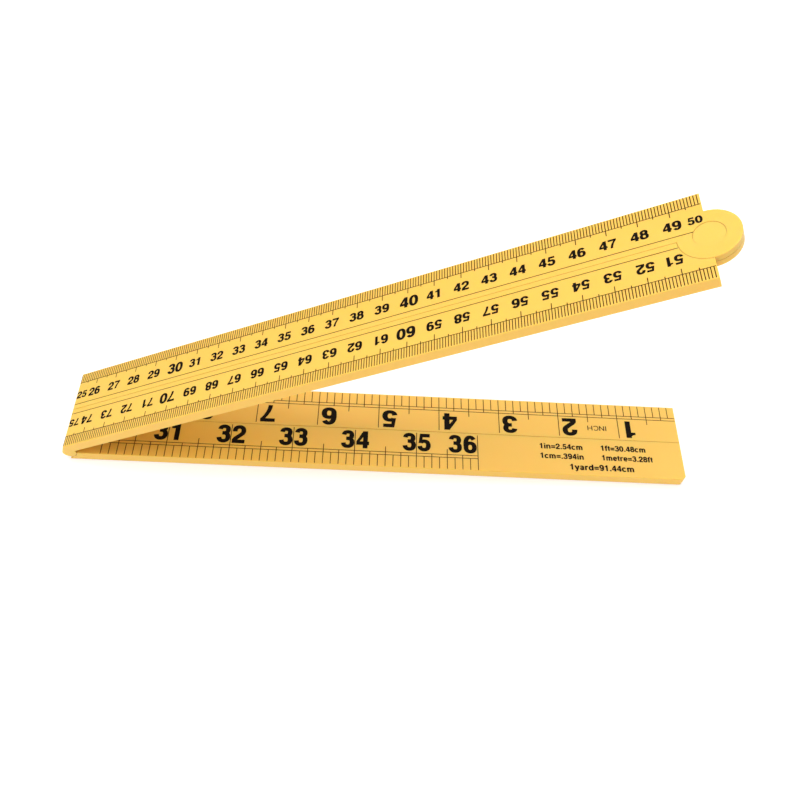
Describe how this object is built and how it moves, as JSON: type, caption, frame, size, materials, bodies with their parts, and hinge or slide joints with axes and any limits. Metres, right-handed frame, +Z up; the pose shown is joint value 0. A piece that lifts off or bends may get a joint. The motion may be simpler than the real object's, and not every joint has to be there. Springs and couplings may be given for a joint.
{
  "type": "folding rule",
  "caption": "Plastic folding rule with flat hinges and a round centre joint, folded and partly opened, printed with centimetre and inch scales.",
  "frame": {"origin": "on the surface under the middle of the standing rule's bounding box", "axes": "+X along the lower legs towards their free ends, +Y across from the near pair to the far pair, +Z up"},
  "size_m": [0.2526, 0.0354, 0.1293],
  "materials": {
    "leg_plastic": "semi-gloss moulded ABS",
    "stud_plastic": "semi-gloss moulded plastic",
    "pin_steel": "drawn steel",
    "scale_print": "matt printed ink"
  },
  "bodies": {
    "first_leg": {"first_leg": "leg_plastic", "first_hinge_pin": "pin_steel"},
    "second_leg": {"second_leg": "leg_plastic", "centre_stud": "stud_plastic", "centre_washer": "pin_steel", "centre_cap": "stud_plastic"},
    "third_leg": {"third_leg": "leg_plastic"},
    "fourth_leg": {"fourth_leg": "leg_plastic", "last_hinge_pin": "pin_steel"}
  },
  "joints": [
    {"name": "first_fold", "type": "hinge", "parent": "first_leg", "child": "second_leg", "pos_m": [-0.1236, 0, 0.0046], "axis": [0, -1, 0], "range_deg": [-27.7, 152.3]},
    {"name": "centre_turn", "type": "hinge", "parent": "second_leg", "child": "third_leg", "pos_m": [0.09775, 0, 0.12081], "axis": [-0.4648, 0, 0.8854], "range_deg": [0, 180]},
    {"name": "last_fold", "type": "hinge", "parent": "third_leg", "child": "fourth_leg", "pos_m": [-0.1236, 0, 0.0046], "axis": [0, 1, 0], "range_deg": [-27.7, 152.3]}
  ]
}
